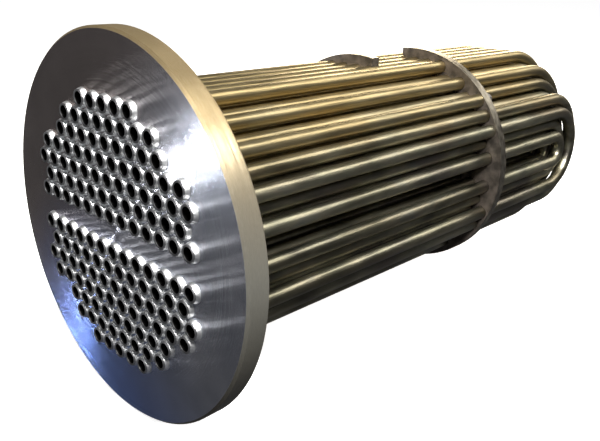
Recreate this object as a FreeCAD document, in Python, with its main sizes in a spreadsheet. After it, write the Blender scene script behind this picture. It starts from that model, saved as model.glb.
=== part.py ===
"""Removable U-tube bundle of a shell and tube heat exchanger.

Frame, in millimetres: the origin is the centre of the tubesheet's front face, +X runs along the
bundle towards the bends, +Z is up, and the pass lane between the two halves of the tubes is level.
"""
import FreeCAD, Part
import math
import os

import Sketcher

Vector = FreeCAD.Vector
Constraint = Sketcher.Constraint

# Tubes in each row, counted from the pass lane outwards. Each half has the same rows.
TUBES_PER_ROW = (13, 12, 13, 12, 9, 8, 5)
# The upper tie rods stand in this row, one pitch past its last tubes.
TIE_ROD_ROW = 5
# The other two stand in the pass lane, this many pitches from the centre plane.
LANE_ROD_REACH = 3
TIE_ROD_LEVELS = ("upper", "lane")
SIDES = (("near", -1), ("far", 1))
LEVELS = (("upper", 1), ("lower", -1))

DRIVING_SIZES = (
    ("tube_diameter", 19.05, "outside"),
    ("tube_wall", 2.11, ""),
    ("tube_gap", 4.76, "between neighbouring tubes"),
    ("lane_width", 24.15, "clear height of the pass lane"),
    ("tube_proud", 6, "tube ends past the tubesheet's face"),
    ("tubesheet_thickness", 28.6, ""),
    ("tubesheet_chamfer", 3, "both rims"),
    ("gasket_ring", 56.25, "the tubesheet's rim outside the baffles"),
    ("baffle_edge", 2.65, "outermost tube to the baffle's rim"),
    ("baffle_thickness", 15, ""),
    ("baffle_hole_clearance", 0.8, "on the diameter"),
    ("first_span", 371.4, "tubesheet to the first baffle"),
    ("second_span", 124, "first baffle to the second"),
    ("bend_span", 200, "second baffle to the start of the bends"),
    ("first_baffle_cut", 1.2, "pitches from the centre plane"),
    ("second_baffle_cut", 1, "pitches from the centre plane"),
    ("tie_rod_diameter", 9.5, ""),
    ("tie_rod_seat", 16, "depth screwed into the tubesheet"),
    ("tie_rod_tail", 3, "past the nut"),
    ("nut_flats", 17, "across flats"),
    ("nut_height", 8, ""),
)


def make_sheet(document):
    sheet = document.addObject("Spreadsheet::Sheet", "Sizes")
    for line, (name, value, note) in enumerate(DRIVING_SIZES, start=1):
        sheet.set(f"A{line}", name)
        sheet.set(f"B{line}", str(value))
        sheet.set(f"C{line}", note)
        sheet.setAlias(f"B{line}", name)
    document.recompute()
    return sheet


doc = FreeCAD.newDocument("UTubeBundle")
sizes = make_sheet(doc)

# Sizes that follow from the driving ones, as expressions on the sheet.
PITCH = "(Sizes.tube_diameter + Sizes.tube_gap)"
FIRST_FACE = "(Sizes.tubesheet_thickness + Sizes.first_span)"
SECOND_FACE = f"({FIRST_FACE} + Sizes.baffle_thickness + Sizes.second_span)"
BEND_START = f"({SECOND_FACE} + Sizes.baffle_thickness + Sizes.bend_span)"
TUBE_BORE = "(Sizes.tube_diameter - 2 * Sizes.tube_wall)"
# An equilateral layout: rows lie this share of a pitch apart.
ROW_SHARE = math.sqrt(3) / 2


def row_height(row):
    """Expression for the distance of a row from the pass lane's centre. Rows count from 1."""
    first = "(Sizes.lane_width + Sizes.tube_diameter) / 2"
    return f"({first} + {row - 1} * {ROW_SHARE:.9f} * {PITCH})"


def bundle_radius():
    """Expression for the distance of the outermost tube's centre from the X axis."""
    corners = []
    for row, count in enumerate(TUBES_PER_ROW, start=1):
        reach = (count - 1) / 2
        corners.append(f"hypot({reach} * {PITCH}; {row_height(row)})")
    return f"max({'; '.join(corners)})"


BAFFLE_DIAMETER = f"(2 * ({bundle_radius()} + Sizes.baffle_edge) + Sizes.tube_diameter)"
TUBESHEET_DIAMETER = f"({BAFFLE_DIAMETER} + 2 * Sizes.gasket_ring)"


def column_places():
    """Every column of U-tubes, as its offset in pitches, from the near side to the far side."""
    widest = max(TUBES_PER_ROW) - 1
    return [half_step / 2 for half_step in range(-widest, widest + 1)]


def rows_in_column(column):
    """A row has a tube in this column when the column is on its grid and inside its length."""
    rows = []
    for row, count in enumerate(TUBES_PER_ROW, start=1):
        reach = (count - 1) / 2
        on_grid = (column - reach) % 1 == 0
        if on_grid and abs(column) <= reach:
            rows.append(row)
    return rows


def bind(target, **expressions):
    """Bind properties to the sheet. A double underscore in a name stands for a dot."""
    for name, expression in expressions.items():
        target.setExpression(name.replace("__", "."), expression)


def new_sketch(body, name, role):
    sketch = body.newObject("Sketcher::SketchObject", name)
    plane = next(part for part in body.Origin.OriginFeatures if part.Role == role)
    sketch.AttachmentSupport = (plane, [""])
    sketch.MapMode = "FlatFace"
    return sketch


def constrain(sketch, rule, expression=None):
    index = sketch.addConstraint(rule)
    if expression is not None:
        sketch.setExpression(f"Constraints[{index}]", expression)


def value(expression):
    """The number that a sheet expression stands for, for a sketch's first drawing."""
    return float(sizes.evalExpression(expression))


def turned_disc(name, diameter, thickness, chamfer=None):
    """A round plate from x = 0 to its thickness, turned about the X axis."""
    body = doc.addObject("PartDesign::Body", name)
    sketch = new_sketch(body, f"{name}_profile", "XZ_Plane")
    radius = f"{diameter} / 2"
    if chamfer is None:
        corners = [("0", "0"), ("0", radius), (thickness, radius), (thickness, "0")]
    else:
        corners = [
            ("0", "0"),
            ("0", f"{radius} - {chamfer}"),
            (chamfer, radius),
            (f"{thickness} - {chamfer}", radius),
            (thickness, f"{radius} - {chamfer}"),
            (thickness, "0"),
        ]
    draw_polygon(sketch, corners)
    turn = body.newObject("PartDesign::Revolution", f"{name}_turned")
    turn.Profile = sketch
    turn.ReferenceAxis = (sketch, ["H_Axis"])
    turn.Angle = 360
    return body


def draw_polygon(sketch, corners):
    """A closed outline whose corners are pairs of expressions, each bound by two distances."""
    points = [Vector(value(across), value(up), 0) for across, up in corners]
    for index, point in enumerate(points):
        following = (index + 1) % len(points)
        sketch.addGeometry(Part.LineSegment(point, points[following]))
    for index, (across, up) in enumerate(corners):
        before = (index - 1) % len(corners)
        constrain(sketch, Constraint("Coincident", before, 2, index, 1))
        if across == "0":
            constrain(sketch, Constraint("PointOnObject", index, 1, -2))
        else:
            constrain(sketch, Constraint("DistanceX", -1, 1, index, 1, points[index].x), across)
        if up == "0":
            constrain(sketch, Constraint("PointOnObject", index, 1, -1))
        else:
            constrain(sketch, Constraint("DistanceY", -1, 1, index, 1, points[index].y), up)


def along_x(name, diameter, length, start="0"):
    """A round bar along X, with its size and its start bound to the sheet."""
    bar = doc.addObject("Part::Cylinder", name)
    bar.Placement = FreeCAD.Placement(Vector(), FreeCAD.Rotation(Vector(0, 1, 0), 90))
    bind(bar, Radius=f"{diameter} / 2", Height=length, Placement__Base__x=start)
    return bar


def copy_at(name, original, across, up="0"):
    """Another place for one shape: a link that shares it."""
    link = doc.addObject("App::Link", name)
    link.LinkedObject = original
    link.LinkTransform = True
    bind(link, Placement__Base__y=across, Placement__Base__z=up)
    return link


def cut(name, base, tools):
    group = doc.addObject("Part::Compound", f"{name}_tools")
    group.Links = tools
    result = doc.addObject("Part::Cut", name)
    result.Base = base
    result.Tool = group
    return result


def bore_tools(name, diameter, length):
    """One drill for every tube leg, as a list of links to a single bar that starts behind x = 0."""
    drill = along_x(f"{name}_drill", diameter, f"2 * {length}", f"-{length} / 2")
    tools = []
    for number, column in enumerate(column_places(), start=1):
        for row in rows_in_column(column):
            for level, sign in LEVELS:
                place = f"{column} * {PITCH}"
                tool = f"{name}_{number}_{row}_{level}"
                tools.append(copy_at(tool, drill, place, f"{sign} * {row_height(row)}"))
    return tools


def tie_rod_place(side_sign, level):
    if level == "lane":
        return f"{side_sign * LANE_ROD_REACH} * {PITCH}", "0"
    reach = (TUBES_PER_ROW[TIE_ROD_ROW - 1] + 1) / 2
    return f"{side_sign * reach} * {PITCH}", row_height(TIE_ROD_ROW)


def rod_tools(name, diameter, length, start, side_signs):
    drill = along_x(f"{name}_rod_drill", diameter, length, start)
    tools = []
    for side, side_sign in SIDES:
        if side_sign not in side_signs:
            continue
        for level in TIE_ROD_LEVELS:
            across, up = tie_rod_place(side_sign, level)
            tools.append(copy_at(f"{name}_rod_{side}_{level}", drill, across, up))
    return tools


def make_tubesheet():
    blank = turned_disc(
        "tubesheet_blank", TUBESHEET_DIAMETER, "Sizes.tubesheet_thickness", "Sizes.tubesheet_chamfer"
    )
    tools = bore_tools("tubesheet_bore", "Sizes.tube_diameter", "Sizes.tubesheet_thickness")
    seat_start = "Sizes.tubesheet_thickness - Sizes.tie_rod_seat"
    seats = rod_tools("tubesheet", "Sizes.tie_rod_diameter", "2 * Sizes.tie_rod_seat", seat_start, (-1, 1))
    return cut("tubesheet", blank, tools + seats)


def make_baffle(name, face, cut_pitches, window_sign):
    """A drilled disc whose window side, near or far, is cut off along an upright edge."""
    blank = turned_disc(f"{name}_blank", BAFFLE_DIAMETER, "Sizes.baffle_thickness")
    bore = "(Sizes.tube_diameter + Sizes.baffle_hole_clearance)"
    tools = bore_tools(f"{name}_bore", bore, "Sizes.baffle_thickness")
    rod_bore = "(Sizes.tie_rod_diameter + Sizes.baffle_hole_clearance)"
    tools += rod_tools(
        name, rod_bore, "2 * Sizes.baffle_thickness", "-Sizes.baffle_thickness / 2", (-window_sign,)
    )
    window = doc.addObject("Part::Box", f"{name}_window")
    edge = f"{cut_pitches} * {PITCH}"
    start = edge if window_sign > 0 else f"-{edge} - {BAFFLE_DIAMETER}"
    bind(
        window,
        Length="2 * Sizes.baffle_thickness",
        Width=BAFFLE_DIAMETER,
        Height=BAFFLE_DIAMETER,
        Placement__Base__x="-Sizes.baffle_thickness / 2",
        Placement__Base__y=start,
        Placement__Base__z=f"-{BAFFLE_DIAMETER} / 2",
    )
    tools.append(window)
    baffle = cut(name, blank, tools)
    bind(baffle, Placement__Base__x=face)
    return baffle


def make_u_tube(row):
    """One U-tube in the XZ plane: a ring swept along two legs and a half-round bend."""
    body = doc.addObject("PartDesign::Body", f"u_tube_of_row_{row}")
    radius = row_height(row)
    bend_radius = value(radius)
    tangent = value(BEND_START)
    end = -value("Sizes.tube_proud")
    spine = new_sketch(body, f"spine_{row}", "XZ_Plane")
    upper_ends = (Vector(end, bend_radius, 0), Vector(tangent, bend_radius, 0))
    lower_ends = (Vector(tangent, -bend_radius, 0), Vector(end, -bend_radius, 0))
    circle = Part.Circle(Vector(tangent, 0, 0), Vector(0, 0, 1), bend_radius)
    upper = spine.addGeometry(Part.LineSegment(*upper_ends))
    bend = spine.addGeometry(Part.ArcOfCircle(circle, -math.pi / 2, math.pi / 2))
    lower = spine.addGeometry(Part.LineSegment(*lower_ends))
    constrain(spine, Constraint("Tangent", upper, 2, bend, 2))
    constrain(spine, Constraint("Tangent", bend, 1, lower, 1))
    constrain(spine, Constraint("Horizontal", upper))
    constrain(spine, Constraint("Horizontal", lower))
    constrain(spine, Constraint("PointOnObject", bend, 3, -1))
    constrain(spine, Constraint("DistanceX", -1, 1, bend, 3, tangent), BEND_START)
    constrain(spine, Constraint("Radius", bend, bend_radius), radius)
    constrain(spine, Constraint("DistanceX", -1, 1, upper, 1, end), "-Sizes.tube_proud")
    constrain(spine, Constraint("DistanceX", -1, 1, lower, 2, end), "-Sizes.tube_proud")
    ring = new_sketch(body, f"ring_{row}", "YZ_Plane")
    bind(ring, AttachmentOffset__Base__z="-Sizes.tube_proud")
    centre = Vector(0, bend_radius, 0)
    outer = ring.addGeometry(Part.Circle(centre, Vector(0, 0, 1), value("Sizes.tube_diameter") / 2))
    inner = ring.addGeometry(Part.Circle(centre, Vector(0, 0, 1), value(TUBE_BORE) / 2))
    constrain(ring, Constraint("PointOnObject", outer, 3, -2))
    constrain(ring, Constraint("Coincident", inner, 3, outer, 3))
    constrain(ring, Constraint("DistanceY", -1, 1, outer, 3, bend_radius), radius)
    constrain(ring, Constraint("Diameter", outer, value("Sizes.tube_diameter")), "Sizes.tube_diameter")
    constrain(ring, Constraint("Diameter", inner, value(TUBE_BORE)), TUBE_BORE)
    doc.recompute()
    pipe = body.newObject("PartDesign::AdditivePipe", f"swept_{row}")
    pipe.Profile = ring
    pipe.Spine = (spine, ["Edge1", "Edge2", "Edge3"])
    return body


def make_tube_columns():
    """The nested U-tubes of one upright column share a node; columns count from the near side."""
    masters = {row: make_u_tube(row) for row in range(1, len(TUBES_PER_ROW) + 1)}
    columns = []
    for number, column in enumerate(column_places(), start=1):
        place = f"{column} * {PITCH}"
        name = f"u_tubes_column_{number:02d}"
        nested = [copy_at(f"{name}_row_{row}", masters[row], place) for row in rows_in_column(column)]
        group = doc.addObject("Part::Compound", name)
        group.Links = nested
        columns.append(group)
    return columns


def make_spacer(name, start, end, place):
    """A length of the bundle's own tube, slipped over a tie rod."""
    length = f"{end} - {start}"
    outside = along_x(f"{name}_outside", "Sizes.tube_diameter", length, start)
    inside = along_x(f"{name}_inside", TUBE_BORE, length, start)
    spacer = doc.addObject("Part::Cut", name)
    spacer.Base = outside
    spacer.Tool = inside
    bind(spacer, Placement__Base__y=place[0], Placement__Base__z=place[1])
    return spacer


def make_nut(name, start, place):
    """A plain hexagon nut, its bore the rod's diameter."""
    prism = doc.addObject("Part::Prism", f"{name}_hexagon")
    prism.Polygon = 6
    prism.Placement = FreeCAD.Placement(Vector(), FreeCAD.Rotation(Vector(0, 1, 0), 90))
    corner_share = 1 / math.sqrt(3)
    bind(
        prism,
        Circumradius=f"{corner_share:.9f} * Sizes.nut_flats",
        Height="Sizes.nut_height",
        Placement__Base__x=start,
    )
    bore = along_x(f"{name}_bore", "Sizes.tie_rod_diameter", "Sizes.nut_height", start)
    nut = doc.addObject("Part::Cut", name)
    nut.Base = prism
    nut.Tool = bore
    bind(nut, Placement__Base__y=place[0], Placement__Base__z=place[1])
    return nut


def make_tie_rods():
    """Each rod is screwed into the tubesheet's back and holds the baffle on its side with a nut."""
    parts = []
    back = "Sizes.tubesheet_thickness"
    held_face = {"near": SECOND_FACE, "far": FIRST_FACE}
    for side, side_sign in SIDES:
        for level in TIE_ROD_LEVELS:
            place = tie_rod_place(side_sign, level)
            name = f"{level}_{side}"
            face = held_face[side]
            nut_start = f"({face} + Sizes.baffle_thickness)"
            rod_start = f"({back} - Sizes.tie_rod_seat)"
            rod_length = f"{nut_start} + Sizes.nut_height + Sizes.tie_rod_tail - {rod_start}"
            rod = along_x(f"tie_rod_{name}", "Sizes.tie_rod_diameter", rod_length, rod_start)
            bind(rod, Placement__Base__y=place[0], Placement__Base__z=place[1])
            parts.append(rod)
            parts.append(make_spacer(f"spacer_tube_{name}", back, face, place))
            parts.append(make_nut(f"tie_rod_nut_{name}", nut_start, place))
    return parts


def check(sub_parts):
    for item in doc.Objects:
        if "Invalid" in item.State or "Error" in item.State:
            raise RuntimeError(f"{item.Name} did not compute: {item.State}")
    for part in sub_parts:
        if part.Shape.isNull() or not part.Shape.isValid():
            raise RuntimeError(f"{part.Label} has no valid shape")


def main():
    sub_parts = [
        make_tubesheet(),
        make_baffle("first_baffle", FIRST_FACE, "Sizes.first_baffle_cut", -1),
        make_baffle("second_baffle", SECOND_FACE, "Sizes.second_baffle_cut", 1),
    ]
    sub_parts += make_tube_columns()
    sub_parts += make_tie_rods()
    doc.recompute()
    check(sub_parts)
    os.makedirs("parts", exist_ok=True)
    for part in sub_parts:
        part.Shape.exportStep(f"parts/{part.Label}.step")
        solids = len(part.Shape.Solids)
        volume = part.Shape.Volume / 1000
        print(f"{part.Label}: {solids} solid(s), {volume:.1f} cm3")


main()
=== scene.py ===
# %% [markdown]
# # A removable U-tube bundle
#
# The object is the inside of a shell and tube heat exchanger: a thick round tubesheet, 72 U-shaped
# tubes that start and end in it, and two cut plates, the baffles, that hold the tubes apart. Every
# solid was drawn beforehand. This lesson brings the solids in, models the small pieces that the
# drawing simplifies, the welds and the nuts, and gives everything its finish and its light.

import math

import bpy
from mathutils import Matrix, Vector


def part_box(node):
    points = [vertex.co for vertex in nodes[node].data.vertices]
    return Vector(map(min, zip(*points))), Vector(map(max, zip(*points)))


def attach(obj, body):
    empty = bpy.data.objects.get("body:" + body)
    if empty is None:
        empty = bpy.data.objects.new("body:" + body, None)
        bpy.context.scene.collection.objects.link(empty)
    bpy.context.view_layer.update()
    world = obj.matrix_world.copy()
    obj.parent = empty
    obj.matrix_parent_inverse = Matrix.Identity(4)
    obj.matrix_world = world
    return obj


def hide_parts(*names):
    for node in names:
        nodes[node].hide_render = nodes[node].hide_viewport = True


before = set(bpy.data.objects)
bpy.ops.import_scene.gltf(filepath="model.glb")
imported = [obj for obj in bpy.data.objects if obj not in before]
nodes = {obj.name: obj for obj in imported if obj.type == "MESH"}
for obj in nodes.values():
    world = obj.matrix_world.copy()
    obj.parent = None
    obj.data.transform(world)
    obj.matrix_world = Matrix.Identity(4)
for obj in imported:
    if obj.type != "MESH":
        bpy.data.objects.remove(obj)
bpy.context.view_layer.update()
print(len(nodes), "solids brought in")

# %% [markdown]
# ## Sizes
#
# The new pieces have to fit the drawn ones, so their sizes are read from the solids' boxes. A box
# says how thick the tubesheet is and how wide a tube is. All tubes of one upright column share a
# node, so the middle of its box is the column's place. Neighbouring columns stand half a pitch
# apart, because every second row is shifted by that much.

# %% Read the sizes that the later steps need
sheet_low, sheet_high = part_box("tubesheet")
sheet_radius = (sheet_high.y - sheet_low.y) / 2
sheet_back = sheet_high.x

column_names = sorted(name for name in nodes if name.startswith("u_tubes_column_"))
column_boxes = [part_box(name) for name in column_names]
column_places = [(low.y + high.y) / 2 for low, high in column_boxes]
tube_radius = (column_boxes[0][1].y - column_boxes[0][0].y) / 2
tube_front = column_boxes[0][0].x
pitch = 2 * (column_places[1] - column_places[0])

# Rows are counted from the pass lane outwards; the tallest tube belongs to the last row.
TUBES_PER_ROW = (13, 12, 13, 12, 9, 8, 5)
row_step = pitch * math.sqrt(3) / 2
tallest = max(high.z for low, high in column_boxes) - tube_radius
first_row = tallest - (len(TUBES_PER_ROW) - 1) * row_step
tube_ends = {1: [], -1: []}
for half, places in tube_ends.items():
    for row, count in enumerate(TUBES_PER_ROW):
        up = half * (first_row + row * row_step)
        places += [((number - (count - 1) / 2) * pitch, up) for number in range(count)]
print(len(tube_ends[1]) + len(tube_ends[-1]), "tube ends in two halves")
print(f"tubesheet {2000 * sheet_radius:.0f} mm across and {1000 * sheet_back:.1f} mm thick")
print(f"tubes {2000 * tube_radius:.2f} mm across, {1000 * pitch:.2f} mm apart")

# %% [markdown]
# ## Camera
#
# The camera stands in front of the tubesheet, to its near side and a little above it, so both the
# drilled face and the whole length of the bundle show. It is tipped slightly, as a camera in the
# hand is. Its turn is built from the direction in which it looks: Blender's cameras look along
# their own -Z axis with Y up, and `to_track_quat` gives that turn.

# %% Place the camera
CAMERA_PLACE = Vector((-0.3787, -0.6585, 0.2881))
CAMERA_LOOK = Vector((0.67097, 0.65733, -0.34309))
CAMERA_TIP = math.radians(1.4)
LENS = 42.34
SENSOR_WIDTH = 36
NEAREST_SHOWN = 0.01

bpy.ops.object.camera_add(location=CAMERA_PLACE)
camera = bpy.context.object
camera.rotation_mode = "QUATERNION"
level_turn = CAMERA_LOOK.to_track_quat("-Z", "Y")
tip_turn = Matrix.Rotation(CAMERA_TIP, 4, "Z").to_quaternion()
camera.rotation_quaternion = level_turn @ tip_turn
camera.data.lens = LENS
camera.data.sensor_width = SENSOR_WIDTH
camera.data.clip_start = NEAREST_SHOWN
bpy.context.scene.camera = camera
print("camera", round(CAMERA_PLACE.length, 3), "m from the middle of the face")

# %% [markdown]
# ## Floor and light
#
# The bundle stands on the tubesheet's rim, as it would on a bench with its far end propped. Floor
# and backdrop are plain and pale, and neither shows in the metal, so the undersides stay dark. One
# light hangs in front of the drilled face. A long one beyond the bends, with a shorter one over
# its far half, draws a bright line along every tube. A tan one on the far side warms the top rows.
# Two small ones, above the near side and overhead, pick out the welds and the tubesheet's rim. A
# faint light from all round keeps the deepest gaps from going black.

# %% Floor
FLOOR_COLOUR = (1, 1, 1, 1)
FLOOR_GLOW = 0.9
FLOOR_ROUGHNESS = 0.9
FLOOR_WIDTH = 200
FLOOR_GAP = 0.0005

bpy.ops.mesh.primitive_plane_add(size=FLOOR_WIDTH, location=(0, 0, sheet_low.z - FLOOR_GAP))
floor = bpy.context.object
floor.name = "floor"
floor_finish = bpy.data.materials.new("pale_floor")
floor_finish.use_nodes = True
floor_shader = floor_finish.node_tree.nodes["Principled BSDF"]
floor_shader.inputs["Base Color"].default_value = FLOOR_COLOUR
floor_shader.inputs["Roughness"].default_value = FLOOR_ROUGHNESS
floor_shader.inputs["Emission Color"].default_value = FLOOR_COLOUR
floor_shader.inputs["Emission Strength"].default_value = FLOOR_GLOW
floor.data.materials.append(floor_finish)
floor.visible_glossy = False
floor.visible_diffuse = False
print("floor at", round(1000 * floor.location.z, 1), "mm")

# %% Backdrop
BACKDROP_SIDES = 64
BACKDROP_RADIUS = 30
BACKDROP_HEIGHT = 60

bpy.ops.mesh.primitive_cylinder_add(
    vertices=BACKDROP_SIDES,
    radius=BACKDROP_RADIUS,
    depth=BACKDROP_HEIGHT,
    end_fill_type="NOTHING",
    location=(0, 0, 0),
)
backdrop = bpy.context.object
backdrop.name = "backdrop"
backdrop.data.materials.append(floor_finish)
backdrop.visible_glossy = False
backdrop.visible_diffuse = False
backdrop.visible_shadow = False
print("backdrop", BACKDROP_RADIUS, "m away")


# %% Lights
def soft_light(name, place, target, size, power, colour):
    """A rectangular light at a place, facing a target."""
    bpy.ops.object.light_add(type="AREA", location=place)
    light = bpy.context.object
    light.name = name
    light.rotation_mode = "QUATERNION"
    light.rotation_quaternion = (Vector(target) - Vector(place)).to_track_quat("-Z", "Y")
    light.data.shape = "RECTANGLE"
    light.data.size, light.data.size_y = size
    light.data.energy = power
    light.data.color = colour
    light.visible_camera = False


FACE_WHITE = (0.92, 0.96, 1.0)
LAMP_CREAM = (1.0, 0.96, 0.86)
LAMP_WHITE = (1.0, 0.99, 0.97)
LAMP_TAN = (1.0, 0.86, 0.62)

soft_light("face_light", (-1.8, 0.95, 0.0), (0, 0, 0), (0.3, 0.3), 16, FACE_WHITE)
soft_light("long_light", (2.5, -0.78, 1.45), (2.5, 0, 0), (3.2, 0.7), 25, LAMP_CREAM)
soft_light("bend_light", (3.2, -0.78, 1.45), (3.2, 0, 0), (1.8, 0.7), 40, LAMP_CREAM)
soft_light("far_light", (3.2, 1.7, 1.0), (0.4, 0, 0.1), (1.6, 0.9), 55, LAMP_TAN)
soft_light("weld_light", (-0.4, -1.35, 1.6), (0, 0, 0), (0.5, 0.5), 125, LAMP_WHITE)
soft_light("rim_light", (-0.5, -0.6, 2.2), (0, 0, 0), (0.4, 0.4), 50, LAMP_WHITE)
print("six soft lights")

# %% A faint light from all round
ROOM_COLOUR = (0.9, 0.9, 0.92, 1)
ROOM_STRENGTH = 0.085

room = bpy.data.worlds.new("studio")
room.use_nodes = True
room_light = room.node_tree.nodes["Background"]
room_light.inputs["Color"].default_value = ROOM_COLOUR
room_light.inputs["Strength"].default_value = ROOM_STRENGTH
bpy.context.scene.world = room
bpy.context.scene.view_settings.view_transform = "Standard"
print("room light", ROOM_STRENGTH)

# %% [markdown]
# ## Welds at the tube ends
#
# Each tube end stands a little proud of the face and is sealed by a bead of weld that runs round
# it. A bead could be a torus, but half of it would be buried. Here a circle is extruded along the
# outline of the bead: up its slope, back down inside the tube's wall, and out to where it started.
# Doubled corners are merged there, which leaves a closed ring with few faces. Its foot is sunk a
# little into the plate and its inner side into the tube, so that no gap shows. It is made once, at
# the first tube, and copied to the rest.

# %% One bead
BEAD_SIDES = 18
BEAD_FOOT = 0.0021
BEAD_SHOULDER = 0.0013
BEAD_SUNK = 0.0003
# The outline after the foot: places along X, and distances from the tube's outer wall.
BEAD_OUTLINE = (
    (0.5 * tube_front, BEAD_SHOULDER),
    (0.92 * tube_front, -BEAD_SUNK),
    (BEAD_SUNK, -BEAD_SUNK),
    (BEAD_SUNK, BEAD_FOOT),
)
SHARP = math.radians(50)
MERGE_DISTANCE = 0.00001


def bead(across, up):
    """A ring of weld round the tube end at this place."""
    bpy.ops.object.select_all(action="DESELECT")
    foot_radius = tube_radius + BEAD_FOOT
    bpy.ops.mesh.primitive_circle_add(
        vertices=BEAD_SIDES,
        radius=foot_radius,
        location=(BEAD_SUNK, across, up),
        rotation=(0, math.pi / 2, 0),
    )
    ring = bpy.context.object
    bpy.ops.object.mode_set(mode="EDIT")
    before_x, before_radius = BEAD_SUNK, foot_radius
    for x, clearance in BEAD_OUTLINE:
        radius = tube_radius + clearance
        bpy.ops.mesh.extrude_region_move(TRANSFORM_OT_translate={"value": (x - before_x, 0, 0)})
        shrink = radius / before_radius
        bpy.ops.transform.resize(value=(1, shrink, shrink), center_override=(x, across, up))
        before_x, before_radius = x, radius
    bpy.ops.mesh.select_all(action="SELECT")
    bpy.ops.mesh.remove_doubles(threshold=MERGE_DISTANCE)
    bpy.ops.mesh.normals_make_consistent(inside=False)
    bpy.ops.object.mode_set(mode="OBJECT")
    bpy.ops.object.shade_smooth_by_angle(angle=SHARP)
    return ring


# %% A bead for every tube end, joined for each half
def bead_field(name, places):
    """One bead is made and the rest are copies of it; together they are one piece."""
    first = bead(*places[0])
    field = [first]
    for across, up in places[1:]:
        copied = first.copy()
        copied.data = first.data.copy()
        copied.location += Vector((0, across - places[0][0], up - places[0][1]))
        bpy.context.collection.objects.link(copied)
        field.append(copied)
    for ring in field:
        ring.select_set(True)
    bpy.ops.object.join()
    bpy.ops.object.transform_apply(location=True, rotation=True, scale=True)
    first.name = name
    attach(first, "root")
    print(name, len(places), "beads,", len(first.data.polygons), "faces")
    return first


welds = [
    bead_field("upper_tube_end_welds", tube_ends[1]),
    bead_field("lower_tube_end_welds", tube_ends[-1]),
]

# %% [markdown]
# ## Nuts
#
# A nut on each tie rod presses the baffle and its spacer tube towards the tubesheet. The drawn nuts
# are plain hexagonal prisms. A real nut is turned before its flats are milled, and that leaves a
# curved edge where the chamfer meets each flat. Bevelling a hexagon gives straight edges instead.
# So the blank is a round bar whose two ends are bevelled, and six planes then cut its flats. The
# rod passes through the nut and fills its bore, which therefore isn't modelled.

# %% One nut, turned and then cut to six flats
NUT_SIDES = 48
NUT_CHAMFER = 0.0012
FLATS = 6
CUT_DISTANCE = 0.000001


def turned_nut(low, high):
    """A chamfered nut that fills this box, its corners up and down."""
    centre = (low + high) / 2
    bpy.ops.object.select_all(action="DESELECT")
    bpy.ops.mesh.primitive_cylinder_add(
        vertices=NUT_SIDES,
        radius=(high.z - low.z) / 2,
        depth=high.x - low.x,
        location=centre,
        rotation=(0, math.pi / 2, 0),
    )
    nut = bpy.context.object
    bpy.ops.object.transform_apply(location=True, rotation=True, scale=True)
    bpy.ops.object.mode_set(mode="EDIT")
    bpy.ops.mesh.select_mode(type="FACE")
    bpy.ops.mesh.select_all(action="DESELECT")
    bpy.ops.object.mode_set(mode="OBJECT")
    for face in nut.data.polygons:
        face.select = abs(face.normal.x) > 0.9
    bpy.ops.object.mode_set(mode="EDIT")
    bpy.ops.mesh.region_to_loop()
    bpy.ops.mesh.bevel(offset=NUT_CHAMFER)
    flat_distance = (high.y - low.y) / 2
    for flat in range(FLATS):
        turn = 2 * math.pi * flat / FLATS
        outwards = Vector((0, math.cos(turn), math.sin(turn)))
        on_flat = centre + outwards * flat_distance
        bpy.ops.mesh.select_all(action="SELECT")
        bpy.ops.mesh.bisect(
            plane_co=on_flat,
            plane_no=outwards,
            use_fill=True,
            clear_outer=True,
            threshold=CUT_DISTANCE,
        )
    bpy.ops.mesh.select_all(action="SELECT")
    bpy.ops.mesh.remove_doubles(threshold=MERGE_DISTANCE)
    bpy.ops.mesh.normals_make_consistent(inside=False)
    bpy.ops.object.mode_set(mode="OBJECT")
    bpy.ops.object.shade_flat()
    return nut


# %% A nut for every tie rod
nut_names = sorted(name for name in nodes if name.startswith("tie_rod_nut_"))
first_low, first_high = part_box(nut_names[0])
first_nut = turned_nut(first_low, first_high)
nuts = []
for name in nut_names:
    nut = first_nut
    if nuts:
        nut = first_nut.copy()
        nut.data = first_nut.data.copy()
        bpy.context.collection.objects.link(nut)
        nut.data.transform(Matrix.Translation(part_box(name)[0] - first_low))
    nut.name = name.replace("tie_rod_nut", "chamfered_nut")
    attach(nut, "root")
    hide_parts(name)
    nuts.append(nut)
print(len(nuts), "nuts,", len(first_nut.data.polygons), "faces each")

# %% [markdown]
# ## Shader sums
#
# A finish is a tree of nodes, and most of those nodes are sums. `Wire` wraps a node's output, so
# that `0.3 + 0.2 * grain` adds the two Math nodes by itself. `Finish.node` makes any other node.


# %% A wrapped socket
class Wire:
    """A node's output that can be used in sums."""

    def __init__(self, finish, socket):
        self.finish = finish
        self.socket = socket

    def sum(self, operation, first, second):
        return self.finish.node("ShaderNodeMath", {"operation": operation}, {0: first, 1: second})

    def rounded(self):
        return self.sum("ROUND", self, 0)

    def __add__(self, other):
        return self.sum("ADD", self, other)

    def __sub__(self, other):
        return self.sum("SUBTRACT", self, other)

    def __rsub__(self, other):
        return self.sum("SUBTRACT", other, self)

    def __mul__(self, other):
        return self.sum("MULTIPLY", self, other)

    __radd__ = __add__
    __rmul__ = __mul__


print("wires can be added, subtracted, multiplied and rounded")


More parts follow.
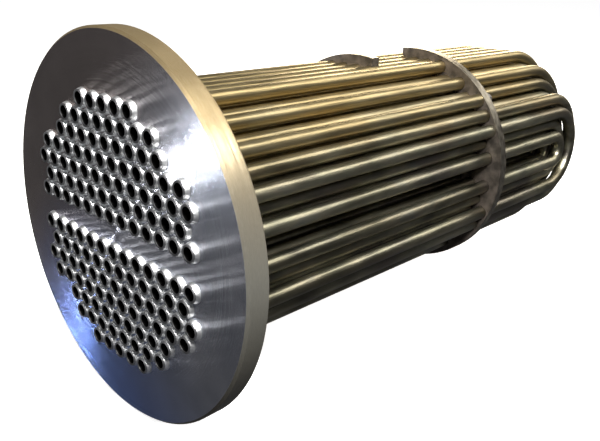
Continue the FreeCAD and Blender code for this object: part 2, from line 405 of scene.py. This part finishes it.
# %% A finish and the nodes it is made of
class Finish:
    """One material, with one Principled shader."""

    def __init__(self, name):
        self.material = bpy.data.materials.new(name)
        self.material.use_nodes = True
        self.tree = self.material.node_tree
        self.shader = self.tree.nodes["Principled BSDF"]
        self.place = self.node("ShaderNodeTexCoord", {}, {}, "Object")
        self.facing = self.node("ShaderNodeNewGeometry", {}, {}, "Normal")

    def node(self, kind, settings, inputs, output=0):
        """A node with its settings, then its inputs, each a plain value or a Wire."""
        made = self.tree.nodes.new(kind)
        for setting, content in settings.items():
            if setting == "stops":
                self.set_stops(made.color_ramp, content)
            else:
                setattr(made, setting, content)
        for key, content in inputs.items():
            self.feed(made.inputs[key], content)
        return Wire(self, made.outputs[output])

    def set_stops(self, ramp, stops):
        while len(ramp.elements) < len(stops):
            ramp.elements.new(0.5)
        for element, (position, colour) in zip(ramp.elements, stops):
            element.position = position
            element.color = (*colour, 1)

    def feed(self, socket, content):
        if isinstance(content, Wire):
            self.tree.links.new(content.socket, socket)
        else:
            socket.default_value = content

    def vector(self, operation, first, second=(0, 0, 0), output=0):
        inputs = {0: first, 1: second}
        return self.node("ShaderNodeVectorMath", {"operation": operation}, inputs, output)

    def scaled(self, vector, amount):
        settings = {"operation": "SCALE"}
        return self.node("ShaderNodeVectorMath", settings, {0: vector, "Scale": amount})

    def part(self, vector, axis):
        return self.node("ShaderNodeSeparateXYZ", {}, {0: vector}, axis)

    def grain(self, size, stretch=(1, 1, 1), detail=2, rough=0.5):
        """Cloudy noise from 0 to 1 whose spots are about this size, longer where stretched."""
        scale = [1 / (size * share) for share in stretch]
        spread = self.vector("MULTIPLY", self.place, scale)
        inputs = {"Vector": spread, "Scale": 1, "Detail": detail, "Roughness": rough}
        return self.node("ShaderNodeTexNoise", {}, inputs)

    def step(self, content, low, high):
        """0 below low, 1 above high, with a soft change between."""
        inputs = {"Value": content, "From Min": low, "From Max": high}
        return self.node("ShaderNodeMapRange", {"interpolation_type": "SMOOTHSTEP"}, inputs)

    def ramp(self, content, *stops):
        return self.node("ShaderNodeValToRGB", {"stops": stops}, {0: content})

    def mix(self, share, first, second):
        colours = [(*c, 1) if isinstance(c, tuple) else c for c in (first, second)]
        inputs = {0: share, 6: colours[0], 7: colours[1]}
        return self.node("ShaderNodeMix", {"data_type": "RGBA"}, inputs, 2)

    def bump(self, height, depth, normal=None):
        inputs = {"Height": height, "Strength": 1, "Distance": depth}
        if normal is not None:
            inputs["Normal"] = normal
        return self.node("ShaderNodeBump", {}, inputs)

    def shade(self, **inputs):
        """Connect the shader: spaces in its sockets' names are underscores here."""
        for name, content in inputs.items():
            self.feed(self.shader.inputs[name.replace("_", " ")], content)


print("shader helpers ready")

# %% [markdown]
# ## Turned steel
#
# The tubesheet came off a lathe, which leaves a spiral of very fine grooves on its face and round
# its rim. On the face, their sides tip the surface only towards or away from the axis, and that is
# why a light shows as two bright sectors that meet in the middle. The grooves are finer than a
# render can show, so the finish tips the shading normal itself, by noise that depends on the
# distance from the axis and, on the rim, on the place along it.


# %% Grooves round the axis
GROOVE = 0.0001
GROOVE_TILT = 2.6


def turned_steel(name):
    """Fine grooves round the X axis; returns the finish and the distance from the axis."""
    finish = Finish(name)
    outward = finish.vector("MULTIPLY", finish.place, (0, 1, 1))
    radius = finish.vector("LENGTH", outward, output="Value")
    around = finish.vector("NORMALIZE", finish.vector("CROSS_PRODUCT", (1, 0, 0), outward))
    across = finish.vector("CROSS_PRODUCT", around, finish.facing)
    travel = radius + 0.7 * finish.part(finish.place, "X")
    inputs = {"W": travel, "Scale": 1 / GROOVE, "Detail": 1}
    cut = finish.node("ShaderNodeTexNoise", {"noise_dimensions": "1D"}, inputs)
    tipped = finish.scaled(across, GROOVE_TILT * (cut - 0.5))
    normal = finish.vector("NORMALIZE", finish.vector("ADD", finish.facing, tipped))
    finish.shade(Metallic=1.0, Normal=normal)
    return finish, radius


sheet_finish, sheet_distance = turned_steel("turned_tubesheet_steel")
print(f"grooves {1000 * GROOVE:.1f} mm wide")

# %% [markdown]
# ## Colours of the tubesheet
#
# The face is darker and warmer towards the top of its far side. At the bottom of that side it is
# painted blue, a painted reflection that tints the lower bright sector. The rim is painted near
# black at the bottom as painted shade, olive in the middle and gold at the top as a painted warm
# reflection, with fine scratches. These could be painted on an image. Here each is a soft step in
# the height or along a slanting line, and cloudy noise makes its border uneven.

# %% Colours of the face
FACE_GREY, FACE_PALE = (0.48, 0.5, 0.58), (0.66, 0.67, 0.74)
# The blue is a painted reflection, the tint of the face's lower bright sector.
FACE_WARM, FACE_PAINTED_BLUE_REFLECTION = (0.4, 0.34, 0.32), (0.25, 0.37, 0.85)

smear = sheet_finish.grain(0.06, detail=4)
depth = sheet_finish.part(sheet_finish.place, "X")
across = sheet_finish.part(sheet_finish.place, "Y")
height = sheet_finish.part(sheet_finish.place, "Z")
front = 1 - sheet_finish.step(depth, 0.001, 0.004)
# Darker and warmer towards the top of the far side; a painted blue reflection at the bottom of that
# side.
warm = front * sheet_finish.step(height + across + 0.08 * smear, -0.05, 0.25)
blue = front * sheet_finish.step(across - height + 0.08 * smear, -0.02, 0.3)
plain_colour = sheet_finish.ramp(smear, (0.3, FACE_GREY), (0.7, FACE_PALE))
face_with_painted_blue = sheet_finish.mix(blue, plain_colour, FACE_PAINTED_BLUE_REFLECTION)
face_colour = sheet_finish.mix(warm, face_with_painted_blue, FACE_WARM)
# The two stains named here are a darker, warmer tint and a painted blue reflection.
print("face coloured, with two stains")

# %% Colours of the rim
# Near black is painted shade on the rim's underside; gold is a painted warm reflection on its top.
RIM_PAINTED_SHADE, RIM_OLIVE = (0.05, 0.042, 0.035), (0.27, 0.265, 0.235)
RIM_PAINTED_REFLECTION, RIM_SCRATCH = (0.23, 0.16, 0.065), (0.6, 0.56, 0.44)

# Rim colour by height: painted shade below, olive between, painted warm reflection on top.
uneven_height = height + 0.04 * smear
olive = sheet_finish.step(uneven_height, -0.16, 0.04)
gold = sheet_finish.step(uneven_height, 0.02, 0.2)
rim_painted_shade_colour = sheet_finish.mix(olive, RIM_PAINTED_SHADE, RIM_OLIVE)
rim_painted_light_colour = sheet_finish.mix(gold, rim_painted_shade_colour, RIM_PAINTED_REFLECTION)
scratches = sheet_finish.grain(0.006, stretch=(0.15, 1, 1), detail=3)
rim_colour = sheet_finish.mix(0.25 * scratches, rim_painted_light_colour, RIM_SCRATCH)
print("rim coloured, with scratches")

# %% Face and rim together
RIM_START = 0.003
EDGE_BLUR = 0.0002

rim_inside = sheet_radius - RIM_START
rim = sheet_finish.step(sheet_distance, rim_inside - EDGE_BLUR, rim_inside + EDGE_BLUR)
sheet_finish.shade(
    Base_Color=sheet_finish.mix(rim, face_colour, rim_colour),
    Roughness=0.17 + 0.08 * smear + 0.11 * rim,
    Metallic=1 - 0.25 * rim,
)
print("tubesheet's finish has", len(sheet_finish.tree.nodes), "nodes")

# %% [markdown]
# ## Weld metal
#
# The beads are clean, bright and softly rippled. Ripples in the mesh would take thousands of faces
# for each bead, and they are too low to change its outline. A bump from fine noise gives them.

# %% The welds' finish
RIPPLE_SIZE = 0.002
RIPPLE_DEPTH = 0.0003
WELD_GREY, WELD_PALE = (0.6, 0.61, 0.62), (0.8, 0.8, 0.8)

weld_finish = Finish("bright_weld")
ripple = weld_finish.grain(RIPPLE_SIZE, detail=2)
weld_finish.shade(
    Base_Color=weld_finish.ramp(ripple, (0.3, WELD_GREY), (0.7, WELD_PALE)),
    Metallic=1.0,
    Roughness=0.36 + 0.12 * ripple,
    Normal=weld_finish.bump(ripple, RIPPLE_DEPTH),
)
for piece in welds:
    piece.data.materials.append(weld_finish.material)
print("welds finished")

# %% [markdown]
# ## Drawn tube
#
# The tubes are a dull bronze-grey alloy. Drawing them through a die leaves long marks, handling
# leaves patches of olive and tan, and the top rows are painted gold as a painted warm reflection.
# The rim of each end was dressed to a cone when it was welded. That cone is under a millimetre
# deep, so the finish tips the shading normal there, away from the nearest tube's axis. The axes
# stand in rows, and every second row is shifted by half a pitch. The bore behind the rim is painted
# near black, as painted shade.


# %% The cone on the tube ends
def from_nearest_axis(finish):
    """The direction from the nearest tube's axis, across the bundle."""
    across = finish.part(finish.place, "Y")
    up = finish.part(finish.place, "Z")
    from_lane = finish.node("ShaderNodeMath", {"operation": "ABSOLUTE"}, {0: up})
    half = finish.node("ShaderNodeMath", {"operation": "SIGN"}, {0: up})
    row = ((from_lane - first_row) * (1 / row_step)).rounded()
    shift = 0.5 * finish.node("ShaderNodeMath", {"operation": "MODULO"}, {0: row, 1: 2})
    place_in_row = (across * (1 / pitch) - shift).rounded() + shift
    axis_up = (first_row + row_step * row) * half
    offset = {"Y": across - pitch * place_in_row, "Z": up - axis_up}
    direction = finish.node("ShaderNodeCombineXYZ", {}, offset)
    return finish.vector("NORMALIZE", direction)


print(f"rows {1000 * row_step:.2f} mm apart, the first {1000 * first_row:.2f} mm from the lane")

# %% The colour of the drawn tube
ALLOY_DARK, ALLOY_OLIVE = (0.24, 0.23, 0.19), (0.36, 0.35, 0.26)
ALLOY_TAN, ALLOY_GREY = (0.43, 0.4, 0.3), (0.3, 0.31, 0.27)
STREAK_DARK, STREAK_NONE = (0.5, 0.48, 0.46), (1.0, 1.0, 1.0)
# The gold is a painted warm reflection for the top rows.
STAIN_BROWN, ALLOY_PAINTED_REFLECTION = (0.17, 0.15, 0.14), (0.5, 0.39, 0.19)


def alloy_colour(finish, patches, streaks):
    """Patches darkened by streaks, stained brown in spots, and painted gold on the top rows as a
    warm reflection.
    """
    patchy = finish.ramp(
        patches,
        (0.3, ALLOY_DARK),
        (0.45, ALLOY_OLIVE),
        (0.56, ALLOY_TAN),
        (0.72, ALLOY_GREY),
    )
    tone = finish.ramp(streaks, (0.36, STREAK_DARK), (0.6, STREAK_NONE))
    multiply = {"data_type": "RGBA", "blend_type": "MULTIPLY"}
    streaked = finish.node("ShaderNodeMix", multiply, {0: 1.0, 6: patchy, 7: tone}, 2)
    stains = finish.grain(0.09, stretch=(1.6, 1, 1), detail=3)
    brown = finish.step(stains, 0.52, 0.68)
    stained = finish.mix(0.75 * brown, streaked, STAIN_BROWN)
    # Gold on the top rows is a painted warm reflection; the stain noise only roughens its border.
    golden = finish.step(finish.part(finish.place, "Z") + 0.12 * stains, 0.12, 0.2)
    return finish.mix(0.8 * golden, stained, ALLOY_PAINTED_REFLECTION)


# %% The tubes' finish
END_TILT = 0.9
DRAW_MARK_DEPTH = 0.0005
# The near black in the bore is painted shade.
LIP_STEEL, BORE_PAINTED_SHADE = (0.45, 0.45, 0.46), (0.012, 0.012, 0.012)


def drawn_tube(name):
    """Bright on the lip, painted dark shade in the bore, and drawn alloy behind the tubesheet."""
    finish = Finish(name)
    draw_marks = finish.grain(0.004, stretch=(14, 1, 1), detail=4)
    patches = finish.grain(0.03, stretch=(2.5, 1, 1), detail=4)
    streaks = finish.grain(0.016, stretch=(9, 1, 1), detail=3)
    along = finish.part(finish.place, "X")
    # Deeper than a millimetre into the bore the colour is painted shade.
    in_bore = finish.step(along, tube_front + 0.0001, tube_front + 0.001)
    at_front = finish.mix(in_bore, LIP_STEEL, BORE_PAINTED_SHADE)
    behind = finish.step(along, sheet_back - 0.004, sheet_back - 0.001)
    on_lip = 1 - finish.step(along, tube_front + 0.00005, tube_front + 0.0001)
    tipped = finish.scaled(from_nearest_axis(finish), END_TILT * on_lip)
    cone = finish.vector("NORMALIZE", finish.vector("ADD", finish.facing, tipped))
    finish.shade(
        Base_Color=finish.mix(behind, at_front, alloy_colour(finish, patches, streaks)),
        Metallic=1.0,
        Roughness=0.2 + 0.16 * patches + 0.12 * streaks,
        Normal=finish.bump(draw_marks, DRAW_MARK_DEPTH, cone),
    )
    return finish


tube_finish = drawn_tube("drawn_tube_alloy")
print("tubes' finish has", len(tube_finish.tree.nodes), "nodes")

# %% [markdown]
# ## Plate and bar
#
# The baffles are hot-rolled plate with its brown-grey scale. Their edges were turned to slide into
# the shell, which left them paler. The distance from the axis tells the edge from the plate. The
# tie rods and nuts are dark bar. The spacer tubes are cut from the same alloy as the U-tubes.


# %% Steel with the skin of the mill
SCALE_SIZE = 0.02
SCALE_DEPTH = 0.0006


def scaled_steel(name):
    """Steel with the uneven skin of the mill; returns the finish and the skin's spots."""
    finish = Finish(name)
    spots = finish.grain(SCALE_SIZE, detail=5, rough=0.6)
    finish.shade(Normal=finish.bump(spots, SCALE_DEPTH))
    return finish, spots


# %% The baffles' finish
PLATE_DARK, PLATE_LIGHT = (0.05, 0.043, 0.036), (0.12, 0.1, 0.085)
EDGE_DARK, EDGE_PALE = (0.16, 0.14, 0.12), (0.36, 0.33, 0.27)

plate_low, plate_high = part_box("second_baffle")
plate_radius = (plate_high.z - plate_low.z) / 2


def baffle_plate(name):
    """Dark plate, paler and smoother on its turned edge."""
    finish = scaled_steel(name)[0]
    outward = finish.vector("MULTIPLY", finish.place, (0, 1, 1))
    distance = finish.vector("LENGTH", outward, output="Value")
    on_edge = finish.step(distance, plate_radius - 0.0004, plate_radius - 0.0001)
    scuffs = finish.grain(0.012, stretch=(0.4, 1, 1), detail=4)
    plate_colour = finish.ramp(scuffs, (0.35, PLATE_DARK), (0.65, PLATE_LIGHT))
    edge_colour = finish.ramp(scuffs, (0.35, EDGE_DARK), (0.65, EDGE_PALE))
    finish.shade(
        Base_Color=finish.mix(on_edge, plate_colour, edge_colour),
        Metallic=0.6 + 0.4 * on_edge,
        Roughness=0.42 + 0.2 * scuffs - 0.14 * on_edge,
    )
    return finish


plate_finish = baffle_plate("baffle_plate")
print(f"baffles {2000 * plate_radius:.1f} mm across, {len(plate_finish.tree.nodes)} nodes")

# %% The rods' and nuts' finish
BAR_DARK, BAR_LIGHT = (0.09, 0.085, 0.08), (0.16, 0.15, 0.14)


def dark_bar(name):
    """Dark bar in its mill skin."""
    finish, spots = scaled_steel(name)
    finish.shade(
        Base_Color=finish.ramp(spots, (0.35, BAR_DARK), (0.65, BAR_LIGHT)),
        Metallic=0.6,
        Roughness=0.42 + 0.2 * spots,
    )
    return finish


rod_finish = dark_bar("dark_bar")
print("rods' finish has", len(rod_finish.tree.nodes), "nodes")


# %% Every solid gets its finish
def coat(node_name, finish):
    """Give a drawn solid its finish."""
    slots = nodes[node_name].data.materials
    slots.clear()
    slots.append(finish.material)


for node_name in nodes:
    if node_name == "tubesheet":
        coat(node_name, sheet_finish)
    elif node_name.endswith("baffle"):
        coat(node_name, plate_finish)
    elif node_name.startswith(("u_tubes", "spacer")):
        coat(node_name, tube_finish)
    else:
        coat(node_name, rod_finish)
for nut in nuts:
    nut.data.materials.append(rod_finish.material)
print("finishes on", len(nodes), "solids and", len(nuts), "nuts")
